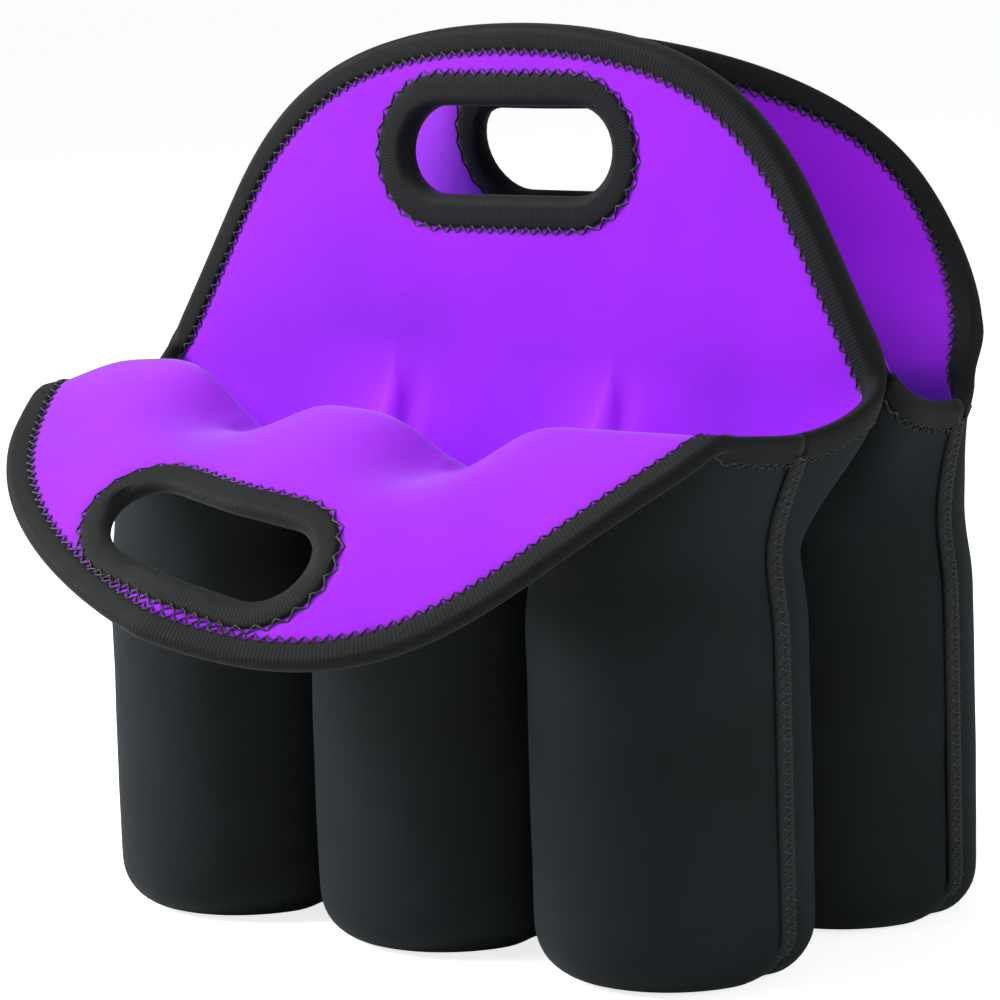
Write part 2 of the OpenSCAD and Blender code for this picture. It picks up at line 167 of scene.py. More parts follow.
class Bench:
    """The few mesh jobs that every piece needs."""

    @staticmethod
    def clear_selection() -> None:
        """Leaves nothing selected."""
        for obj in bpy.context.selected_objects:
            obj.select_set(False)

    @classmethod
    def pick(cls, obj: Object) -> None:
        """Makes one object the only selected and active one."""
        cls.clear_selection()
        obj.select_set(True)
        bpy.context.view_layer.objects.active = obj

    @classmethod
    def grid(cls, name: str, points: Array, cloth: Array | None = None) -> Object:
        """Makes a grid primitive and lays its points on a surface.

        Args:
            name: The piece's name.
            points: Places in millimetres, as rows by columns by three.
            cloth: Place on the flat cloth of each point, in millimetres, for the UV map.

        Returns:
            The new object.
        """
        rows, columns = points.shape[:2]
        cls.clear_selection()
        bpy.ops.mesh.primitive_grid_add(x_subdivisions=columns - 1, y_subdivisions=rows - 1, size=2)
        obj = bpy.context.object
        obj.name = obj.data.name = name
        mesh = obj.data
        mesh.vertices.foreach_set("co", (points.reshape(-1, 3) * MM).astype(np.float32).ravel())
        if cloth is not None:
            corners = np.zeros(len(mesh.loops), dtype=np.int32)
            mesh.loops.foreach_get("vertex_index", corners)
            flat = (cloth.reshape(-1, 2)[corners] * MM).astype(np.float32)
            mesh.uv_layers.active.data.foreach_set("uv", flat.ravel())
        mesh.update()
        return obj

    @classmethod
    def drop_faces(cls, obj: Object, gone: Array) -> None:
        """Cuts faces out of a grid.

        Args:
            obj: The grid.
            gone: True for each face to cut, as rows by columns of faces.
        """
        columns = gone.shape[1] + 1
        cls.pick(obj)
        bpy.ops.object.mode_set(mode="EDIT")
        bpy.ops.mesh.select_mode(type="FACE")
        bpy.ops.mesh.select_all(action="DESELECT")
        bpy.ops.object.mode_set(mode="OBJECT")
        for face in obj.data.polygons:
            row, column = divmod(min(face.vertices), columns)
            face.select = bool(gone[row, column])
        bpy.ops.object.mode_set(mode="EDIT")
        bpy.ops.mesh.delete(type="FACE")
        bpy.ops.object.mode_set(mode="OBJECT")

    @classmethod
    def weld(cls, objects: list[Object], distance: float) -> Object:
        """Joins patches into the first one and merges the points that meet.

        Args:
            objects: The patches.
            distance: How close two points are before they merge, in millimetres.

        Returns:
            The joined object.
        """
        cls.clear_selection()
        for obj in objects:
            obj.select_set(True)
        bpy.context.view_layer.objects.active = objects[0]
        if len(objects) > 1:
            bpy.ops.object.join()
        bpy.ops.object.mode_set(mode="EDIT")
        bpy.ops.mesh.select_all(action="SELECT")
        bpy.ops.mesh.remove_doubles(threshold=distance * MM)
        bpy.ops.object.mode_set(mode="OBJECT")
        return objects[0]

    @classmethod
    def modify(cls, obj: Object, kind: str, **settings: object) -> None:
        """Adds one modifier, sets it and applies it."""
        cls.pick(obj)
        modifier = obj.modifiers.new(kind.lower(), kind)
        for key, value in settings.items():
            setattr(modifier, key, value)
        bpy.ops.object.modifier_apply(modifier=modifier.name)

    @classmethod
    def copy(cls, obj: Object, name: str) -> Object:
        """A copy with its own mesh."""
        twin = obj.copy()
        twin.data = obj.data.copy()
        twin.name = twin.data.name = name
        bpy.context.scene.collection.objects.link(twin)
        return twin

    @classmethod
    def soften(cls, obj: Object) -> None:
        """Shades a piece smoothly."""
        cls.pick(obj)
        bpy.ops.object.shade_smooth()

    @classmethod
    def tube(
        cls, name: str, centres: Array, across: Array, up: Array,
        section: list[Pair], ring: bool = False,
    ) -> Object:
        """Sweeps a closed section along a line.

        Args:
            name: The piece's name.
            centres: Points along the line.
            across: The section's first direction at each point.
            up: The section's second direction at each point.
            section: Places round the section, as (across, up) in millimetres.
            ring: Whether the line ends where it starts, so that there are no ends to close.

        Returns:
            The closed tube.
        """
        loop = np.array(section + section[:1])
        body = centres[:, None] + across[:, None] * loop[None, :, :1] + up[:, None] * loop[None, :, 1:]
        return cls.closed(name, body, ring)

    @classmethod
    def closed(cls, name: str, body: Array, ring: bool = False) -> Object:
        """Makes a closed tube of rings of points.

        Args:
            name: The piece's name.
            body: Rings by points by three, the last point of a ring the same as its first.
            ring: Whether the last ring is the same as the first, so that there are no ends.

        Returns:
            The tube, with faces outward.
        """
        along, round_it = run_length(body[:, 0]), run_length(body[0])
        if not ring:
            ends = [np.repeat(body[i, :-1].mean(axis=0)[None], body.shape[1], axis=0)[None] for i in (0, -1)]
            body = np.concatenate([ends[0], body, ends[1]])
            along = np.concatenate([along[:1], along, along[-1:]])
        cloth = np.stack(np.meshgrid(round_it, along), axis=-1)
        obj = cls.grid(name, body, cloth)
        cls.weld([obj], 0.004)
        bpy.ops.object.mode_set(mode="EDIT")
        bpy.ops.mesh.select_all(action="SELECT")
        bpy.ops.mesh.normals_make_consistent(inside=False)
        bpy.ops.object.mode_set(mode="OBJECT")
        cls.soften(obj)
        return obj


# Finishes


class Paint:
    """Builds one node material, a node at a time."""

    def __init__(self, name: str) -> None:
        """Starts a material with its shader, the place on the flat cloth and the place on the object."""
        self.material = bpy.data.materials.new(name)
        self.material.use_nodes = True
        self.nodes, self.links = self.material.node_tree.nodes, self.material.node_tree.links
        self.shader = self.nodes["Principled BSDF"]
        where = self.nodes.new("ShaderNodeTexCoord").outputs
        self.flat, self.solid = where["UV"], where["Object"]

    def node(self, kind: str, inputs: dict[str, object] | None = None, **settings: object) -> bpy.types.Node:
        """Adds a node.

        Args:
            kind: The node's type name.
            inputs: Values or sockets for its inputs, by name or number.
            settings: Its own settings.

        Returns:
            The node.
        """
        made = self.nodes.new(kind)
        for key, value in settings.items():
            setattr(made, key, value)
        for key, value in (inputs or {}).items():
            self.feed(made.inputs[key], value)
        return made

    def feed(self, socket: Socket, value: object) -> None:
        """Links a socket to an input, or sets the input's value."""
        if isinstance(value, Socket):
            self.links.new(value, socket)
        else:
            socket.default_value = value

    def total(self, base: float, *parts: tuple[object, float]) -> Socket:
        """Adds numbers, each times its weight, to a base."""
        result = base
        for value, weight in parts:
            added = self.node("ShaderNodeMath", {0: value, 1: weight, 2: result}, operation="MULTIPLY_ADD")
            result = added.outputs[0]
        return result

    def product(self, a: object, b: object) -> Socket:
        """One number times another."""
        return self.node("ShaderNodeMath", {0: a, 1: b}, operation="MULTIPLY").outputs[0]

    def finish(
        self, colour: object, rough: object, height: object, strength: float, relief: float, **fixed: object
    ) -> Material:
        """Feeds the shader.

        Args:
            colour: The base colour.
            rough: The roughness.
            height: What the fine relief follows.
            strength: How strongly it shows.
            relief: How deep it is, in metres.
            fixed: Values of other inputs, with _ for a space in the input's name.

        Returns:
            The finished material.
        """
        bump = self.node("ShaderNodeBump", {"Height": height, "Strength": strength, "Distance": relief})
        self.feed(self.shader.inputs["Base Color"], colour)
        self.feed(self.shader.inputs["Roughness"], rough)
        self.feed(self.shader.inputs["Normal"], bump.outputs["Normal"])
        for name, value in fixed.items():
            self.shader.inputs[name.replace("_", " ")].default_value = value
        return self.material

    def ramp(self, source: object, stops: list[tuple[float, tuple[float, ...]]]) -> Socket:
        """Turns a number into a colour by (place, colour) stops."""
        made = self.node("ShaderNodeValToRGB", {"Fac": source})
        elements = made.color_ramp.elements
        for i, (place, colour) in enumerate(stops):
            element = elements[i] if i < 2 else elements.new(place)
            element.position, element.color = place, (*colour, 1)
        return made.outputs["Color"]

    def noise(self, scale: float, detail: float) -> Socket:
        """Cloudy variation from 0 to 1, through the object."""
        made = self.node("ShaderNodeTexNoise", {"Vector": self.solid, "Scale": scale, "Detail": detail})
        return made.outputs[0]

    def wave(self, spacing: float, direction: str, warp: float) -> Socket:
        """Fine parallel ribs across one direction of the cloth, at a spacing in millimetres."""
        return self.node(
            "ShaderNodeTexWave",
            {"Vector": self.flat, "Scale": math.pi / (10 * spacing * MM), "Distortion": warp, "Detail": 1.0,
             "Detail Scale": 2.0},
            bands_direction=direction,
        ).outputs["Fac"]


@dataclass(frozen=True)
class JerseyFoam:
    """Foam rubber faced with a fine knitted jersey, as on both faces of the cloth."""

    name: str
    deep: Triple
    bright: Triple
    sheen: float
    sheen_tint: Triple
    roughness: float = 0.78
    sheen_spread: float = 0.5
    wale: float = 0.8
    relief: float = 0.00006

    def make(self) -> Material:
        """The material, with ribs of knit along the cloth and soft uneven dye."""
        paint = Paint(self.name)
        ribs = paint.wave(self.wale, "X", 0.5)
        loops = paint.wave(self.wale * 1.3, "Y", 0.7)
        knit = paint.product(ribs, loops)
        clouds, fuzz = paint.noise(22.0, 4.0), paint.noise(900.0, 2.0)
        tone = paint.total(0.0, (clouds, 0.7), (knit, 0.1), (fuzz, 0.25))
        return paint.finish(
            paint.ramp(tone, [(0.2, self.deep), (0.8, self.bright)]),
            paint.total(self.roughness - 0.08, (fuzz, 0.16)), paint.total(0.0, (knit, 1.0), (fuzz, 0.6)),
            0.4, self.relief, Sheen_Weight=self.sheen, Sheen_Roughness=self.sheen_spread,
            Sheen_Tint=(*self.sheen_tint, 1), Specular_IOR_Level=0.18,
        )


@dataclass(frozen=True)
class WovenTape:
    """Narrow woven binding, ribbed across its width."""

    name: str
    deep: Triple = (0.0012, 0.0015, 0.0017)
    bright: Triple = (0.0075, 0.0092, 0.0096)
    rib: float = 1.1

    def make(self) -> Material:
        """The material, with ribs along the tape's own length and slight uneven wear."""
        paint = Paint(self.name)
        ribs = paint.wave(self.rib, "Y", 0.35)
        rows = paint.wave(self.rib * 0.8, "X", 0.8)
        wear = paint.noise(140.0, 3.0)
        weave = paint.total(0.0, (ribs, 0.7), (rows, 0.3))
        tone = paint.total(0.0, (weave, 0.3), (wear, 0.6))
        return paint.finish(
            paint.ramp(tone, [(0.1, self.deep), (0.9, self.bright)]), paint.total(0.6, (wear, 0.2)),
            weave, 0.5, 0.00012, Sheen_Weight=0.07, Specular_IOR_Level=0.2,
        )


@dataclass(frozen=True)
class TwistedThread:
    """Black sewing thread with the twist of its plies."""

    name: str
    deep: Triple = (0.006, 0.006, 0.007)
    bright: Triple = (0.05, 0.052, 0.055)

    def make(self) -> Material:
        """The material, with fine slanted plies and a little gloss."""
        paint = Paint(self.name)
        plies = paint.wave(0.9, "DIAGONAL", 0.3)
        lint = paint.noise(500.0, 2.0)
        tone = paint.product(plies, paint.total(0.3, (lint, 1.0)))
        return paint.finish(
            paint.ramp(tone, [(0.0, self.deep), (0.9, self.bright)]), paint.total(0.4, (lint, 0.25)),
            plies, 0.5, 0.0001,
        )


@dataclass
class Finishes:
    """Every finish of the carrier, each made once."""

    black: Material = field(
        default_factory=JerseyFoam(
            "black_jersey_foam", (0.0050, 0.0066, 0.0074), (0.0165, 0.021, 0.0235), 0.05, (0.6, 0.75, 0.8)
        ).make
    )
    purple: Material = field(
        default_factory=JerseyFoam(
            "purple_jersey_foam", (0.31, 0.001, 0.84), (0.44, 0.005, 1.0), 0.32, (0.95, 0.85, 1.0), 0.75
        ).make
    )
    tape: Material = field(default_factory=WovenTape("woven_binding_tape").make)
    seam: Material = field(
        default_factory=WovenTape("flat_seam_band", (0.009, 0.011, 0.012), (0.032, 0.037, 0.04), 0.8).make
    )
    thread: Material = field(default_factory=TwistedThread("black_sewing_thread").make)
    seam_thread: Material = field(
        default_factory=TwistedThread("grey_black_seam_thread", (0.02, 0.022, 0.024), (0.11, 0.12, 0.125)).make
    )


# Shapes


@dataclass(frozen=True)
class Arch:
    """The outline of a panel, across and along the cloth."""

    root: float
    half_width: float = 121.0
    side_length: float = 46.0
    side_angle: float = 60.0
    shoulder_pull: float = 36.0
    top_pull: float = 56.0
    height: float = 88.0
    corner_rounding: int = 60

    def outline(self, start: float, count: int = 97) -> Array:
        """The outline from the left root over the top to the right root.

        Args:
            start: Place along the cloth at which the outline starts.
            count: How many points it has.

        Returns:
            Points (across, along), evenly spaced above the corners.
        """
        lean = math.radians(self.side_angle)
        out = np.array([-math.cos(lean), math.sin(lean)])
        corner = np.array([self.half_width, self.root])
        end = corner + self.side_length * out
        pull = end + self.shoulder_pull * out
        top = np.array([0.0, self.root + self.height])
        flat = top + [self.top_pull, 0.0]
        t = np.linspace(0, 1, 40)[:, None]
        shoulder = end * (1 - t) ** 3 + 3 * pull * t * (1 - t) ** 2 + 3 * flat * t * t * (1 - t) + top * t ** 3
        right = np.vstack([[self.half_width, start], corner, shoulder])
        fine = spaced(np.vstack([right * [-1, 1], right[::-1][1:]]), 300)[0]
        for _ in range(self.corner_rounding):
            fine[1:-1] = (fine[:-2] + 2 * fine[1:-1] + fine[2:]) / 4
        return spaced(fine, count)[0]


@dataclass(frozen=True)
class HandleHole:
    """A hole with straight sides and round ends."""

    along: float
    width: float = 72.0
    height: float = 27.0

    @property
    def flat(self) -> float:
        """How far the straight sides reach from the middle."""
        return (self.width - self.height) / 2

    def distance(self, a: Array, b: Array) -> Array:
        """How far points lie outside the hole's edge, below zero inside it."""
        over = np.maximum(np.abs(a) - self.flat, 0)
        return np.hypot(over, b - self.along) - self.height / 2

    def push_out(self, a: Array, b: Array, to: float) -> tuple[Array, Array]:
        """Moves points that lie nearer than to, or inside, out to that distance."""
        core = np.clip(a, -self.flat, self.flat)
        away = np.stack([a - core, b - self.along], axis=-1)
        length = np.maximum(np.linalg.norm(away, axis=-1), 1e-6)
        wanted = np.maximum(length, self.height / 2 + to)
        return core + away[..., 0] * wanted / length, self.along + away[..., 1] * wanted / length

    def loop(self, count: int) -> tuple[Array, Array]:
        """The hole's edge and the way into the cloth at each point, the last point the same as the first."""
        r = self.height / 2
        turn = np.linspace(-math.pi / 2, math.pi / 2, 24)
        right = np.column_stack([self.flat + r * np.cos(turn), r * np.sin(turn)])
        out = np.column_stack([np.cos(turn), np.sin(turn)])
        line = np.vstack([right, -right, right[:1]])
        away = np.vstack([out, -out, out[:1]])
        line, away = spaced(line, count, away)
        return line + [0.0, self.along], unit(away)


@dataclass(frozen=True)
class Dips:
    """Where a fold is drawn in between two pockets."""

    depth: float
    pitch: float = 76.2
    sharpness: float = 1.7
    fade: float = 0.5

    def at(self, across: float, along: float) -> float:
        """The depth at a place, where along runs from 0 at the fold to 1 at the tip."""
        if abs(across) >= self.pitch or along >= self.fade:
            return 0.0
        share = ((1 - math.cos(2 * math.pi * across / self.pitch)) / 2) ** self.sharpness
        return self.depth * share * (1 + math.cos(math.pi * along / self.fade)) / 2


@dataclass(frozen=True)
class FrontPanel:
    """The front panel, folded forward over the pockets with a soft twist."""

    fold_y: float
    fold_z: float
    length: float = 98.0
    half_width: float = 121.0
    slope: float = 13.0
    twist: float = 16.0
    bend: float = 17.0
    swing: float = 14.5
    tip_back: float = 12.0
    left_root_back: float = 15.0
    left_back: float = 12.5
    right_in: float = 6.3
    left_out: float = 6.0
    right_drop: float = 5.8
    left_lift: float = 8.0
    hump_lift: float = 8.5
    hump_at: float = -70.0
    hump_span: float = 150.0
    hump_fade: float = 0.55
    corner_drop: float = 9.0
    corner_from: float = 0.82
    corner_fade: float = 0.4
    tip_drop: float = 2.0
    dips: Dips = Dips(13.0)

    def point(self, a: float, b: float) -> Array:
        """A place on the cloth, a across and b along it."""
        w, t = a / self.half_width, b / self.length
        left, right = max(-w, 0.0), max(w, 0.0)
        slope = math.radians(self.slope + self.twist * w + self.bend * t)
        off_hump = min(abs(a - self.hump_at) / self.hump_span, 0.5)
        lifted = self.hump_lift * math.cos(math.pi * off_hump) ** 2 * (1 - smooth(t / self.hump_fade))
        corner = smooth((left - self.corner_from) / (1 - self.corner_from))
        lifted -= self.corner_drop * corner * (1 - smooth(t / self.corner_fade))
        return np.array([
            a - self.swing * t + self.left_out * left * t - self.right_in * right * t,
            self.fold_y - b * math.cos(slope) + self.tip_back * t + self.left_back * left * t
            + self.left_root_back * left,
            self.fold_z - b * math.sin(slope) - self.dips.at(a, t) + lifted
            + self.left_lift * left * t * t - self.right_drop * right * t - self.tip_drop * t,
        ])


@dataclass(frozen=True)
class MiddlePanel:
    """One face of the middle panel, upright, with soft ridges rising from between the pockets."""

    fold_y: float
    fold_z: float
    shift_left: float = 6.7
    lean_right: float = 5.2
    widen: float = 4.0
    sway: float = 1.4
    ripple: float = 38.0
    half_width: float = 121.0
    length: float = 88.0

    def point(self, a: float, b: float) -> Array:
        """A place on the cloth, a across and b along it."""
        t = b / self.length
        sway = self.sway * math.sin(a / self.ripple) * math.sin(math.pi * min(max(t, 0), 1))
        wide = a * (1 + self.widen / self.half_width)
        return np.array([wide - self.shift_left + self.lean_right * t, self.fold_y + sway, self.fold_z + b])


@dataclass(frozen=True)
class BackPanel:
    """The back panel, leaning in over the rear pockets with its sides curled back."""

    fold_y: float
    fold_z: float
    length: float = 100.0
    half_width: float = 121.0
    lean: float = 0.95
    tip_y: float = 52.17
    cup: float = 106.0
    edge_curl: float = 60.0
    root_in: float = 28.0
    root_narrow: float = 5.4
    tip_narrow: float = 14.0
    left_flatter: float = 45.0
    shift_left: float = 3.6
    drop: float = 2.3
    dips: Dips = Dips(9.0)

    def point(self, a: float, b: float) -> Array:
        """A place on the cloth, a across and b along it."""
        w, t = a / self.half_width, b / self.length
        slow = (self.lean * self.length - (self.fold_y - self.tip_y)) / self.length**2
        left = smooth(-2.5 * w)
        cup, curl = self.cup - self.left_flatter * left, self.edge_curl * (1 - left)
        return np.array([
            a - (self.root_narrow * (1 - t) + self.tip_narrow * t) * w - self.shift_left * t,
            self.fold_y - self.lean * b + slow * b * b + cup * t * w * w + curl * t * w**4
            - self.root_in * (1 - t) * w * w - self.dips.at(a, t),
            self.fold_z + b - self.drop * t,
        ])


@dataclass(frozen=True)
class Cup:
    """A pocket's wall, where its two layers of cloth touch."""

    pitch: float = 76.2
    radius: float = 35.1
    mouth: float = 33.1
    base_flat: float = 24.0
    base_z: float = 1.9
    waist_z: float = 92.0
    neck_z: float = 112.0

    def profile(self) -> list[Pair]:
        """Radius and height, from the base's middle to the neck."""
        rounding = self.radius - self.base_flat
        turn = np.radians(np.linspace(-90, 0, 7))
        base = [(0.0, self.base_z), (9.0, self.base_z), (17.0, self.base_z)]
        corner = [
            (self.base_flat + rounding * math.cos(a), self.base_z + rounding * (1 + math.sin(a))) for a in turn
        ]
        wall = [(self.radius, z) for z in np.linspace(corner[-1][1], self.waist_z, 14)[1:]]
        draw = [
            (
                self.radius - (self.radius - self.mouth) * (1 - math.cos(math.pi * t)) / 2,
                self.waist_z + (self.neck_z - self.waist_z) * t,
            )
            for t in np.linspace(0, 1, 5)[1:]
        ]
        return base + corner + wall + draw


@dataclass
class CutEdge:
    """An edge of the cloth that a tape binds, with the way into the cloth at each point."""

    points: Array
    inward: Array
    ring: bool = False

    def settled(self, step: float, soften: int = 16) -> "CutEdge":
        """Even steps along the edge, with its inward directions evened out and square to it.

        Args:
            step: The distance between points, in millimetres.
            soften: How many times neighbouring directions are averaged.

        Returns:
            The new edge.
        """
        length = float(np.linalg.norm(np.diff(self.points, axis=0), axis=1).sum())
        count = max(int(round(length / step)) + 1, 4)
        points, inward = spaced(self.points, count, self.inward)
        for _ in range(soften):
            wide = padded(inward, self.ring)
            inward = unit(wide[:-2] + 2 * wide[1:-1] + wide[2:])
        tangent = self.tangents(points)
        inward = unit(inward - tangent * np.sum(inward * tangent, axis=1, keepdims=True))
        return CutEdge(points, inward, self.ring)

    def tangents(self, points: Array) -> Array:
        """The direction along the edge at each point."""
        wide = padded(points, self.ring)
        return unit(wide[2:] - wide[:-2])


class Ground:
    """A sheet's middle surface, to lay tapes and stitches on."""

    def __init__(self, obj: Object) -> None:
        """Reads the finished surface of a sheet."""
        mesh = obj.data
        self.tree = BVHTree.FromPolygons([v.co / MM for v in mesh.vertices], [p.vertices for p in mesh.polygons])

    def lay(self, places: Array) -> tuple[Array, Array]:
        """Brings places onto the cloth.

        Args:
            places: Points near the cloth, in any array that ends in three.

        Returns:
            The nearest points on the cloth and the cloth's normals there.
        """
        flat = places.reshape(-1, 3)
        found = [self.tree.find_nearest(Vector(p)) for p in flat]
        on = np.array([f[0] for f in found]).reshape(places.shape)
        normals = np.array([f[1] for f in found]).reshape(places.shape)
        return on, normals


def evened(values: Array, ring: bool, times: int) -> Array:
    """Averages each row with its neighbours.

    Args:
        values: Rows to even out.
        ring: Whether the last row is the same as the first.
        times: How often.

    Returns:
        The softer rows.
    """
    for _ in range(times):
        wide = padded(values, ring)
        values = (wide[:-2] + 2 * wide[1:-1] + wide[2:]) / 4
    return values


@dataclass
class Binding:
    """A tape folded over a cut edge and the zigzag that sews it down."""

    name: str
    edge: CutEdge
    ground: Ground
    width: float = 6.2
    over_black: float | Array = 1.5
    over_coloured: float = 1.15
    tape: float = 1.0
    tooth: float = 1.5
    pitch: float = 3.8

    def build(self) -> Object:
        """The folded tape, as a closed channel over the edge."""
        edge = self.edge.settled(2.6)
        count = len(edge.points)
        black = self.black_height(count)
        w, tape = self.width, self.tape
        nose = -1.2  # how far the tape stands past the cut edge
        depths = [w, w - 0.25, w - 1.2, w * 0.6, w * 0.25, 0.6, -0.7]
        crowns = [0.0, 0.75, 1.0, 1.05, 1.05, 0.95, 0.6]
        low, high = np.full(count, -self.over_coloured), black
        middle, half = (low + high) / 2, (high - low) / 2
        loop: list[tuple[float, Array]] = []
        for depth, crown in zip(depths, crowns):
            level = high + tape * crown if depth > 0 else middle + half * 0.75 + tape * crown * 0.6
            loop.append((depth, level))
        loop.append((nose, middle))
        for depth, crown in zip(depths[::-1], crowns[::-1]):
            level = low - tape * crown if depth > 0 else middle - half * 0.75 - tape * crown * 0.6
            loop.append((depth, level))
        loop += [(0.3, low), (0.3, high), (w, high)]
        inner = {depth: self.surface(edge, depth) for depth in sorted({d for d, _ in loop})}
        body = np.stack([inner[d][0] + inner[d][1] * level[:, None] for d, level in loop], axis=1)
        return Bench.closed(self.name, body, edge.ring)

    def black_height(self, count: int) -> Array:
        """The cloth's height on its black side at count even places along the edge."""
        known = np.atleast_1d(np.asarray(self.over_black, float))
        return np.interp(np.linspace(0, 1, count), np.linspace(0, 1, len(known)), known)

    def surface(self, edge: CutEdge, depth: float | Array) -> tuple[Array, Array]:
        """Places at a depth in from the edge, on the cloth, and the cloth's normals there."""
        reach = np.asarray(depth, float).reshape(-1, 1)
        probe = edge.points + edge.inward * np.maximum(reach, 0.4)
        on, normals = self.ground.lay(probe)
        normals = unit(evened(normals, edge.ring, 6))
        if np.ndim(depth) == 0 and depth < 0.4:
            on = edge.points + edge.inward * depth
        return on, normals

    def stitches(self, name: str, side: Side) -> Object:
        """The zigzag that shows beside the tape.

        Args:
            name: The piece's name.
            side: The face of the cloth that it lies on.

        Returns:
            The sewn line as one mesh.
        """
        edge = self.edge.settled(self.pitch / 2)
        count = len(edge.points)
        if edge.ring and count % 2 == 0:
            count -= 1
        points, inward = spaced(edge.points, count, edge.inward)
        edge = CutEdge(points, unit(inward), edge.ring)
        depth = np.where(np.arange(count) % 2, self.width + self.tooth, self.width - 0.6)
        on, normals = self.surface(edge, depth)
        cloth = np.full(count, self.over_coloured) if side is Side.COLOURED else self.black_height(count)
        near = np.arange(count) % 2 == 0
        lift = cloth + 0.12 + np.where(near, self.tape * 0.85, 0.0)
        path = on + normals * (side.value * lift)[:, None]
        across = unit(np.cross(edge.tangents(path), normals))
        return Bench.tube(name, path, across, normals, THREAD_SECTION, edge.ring)


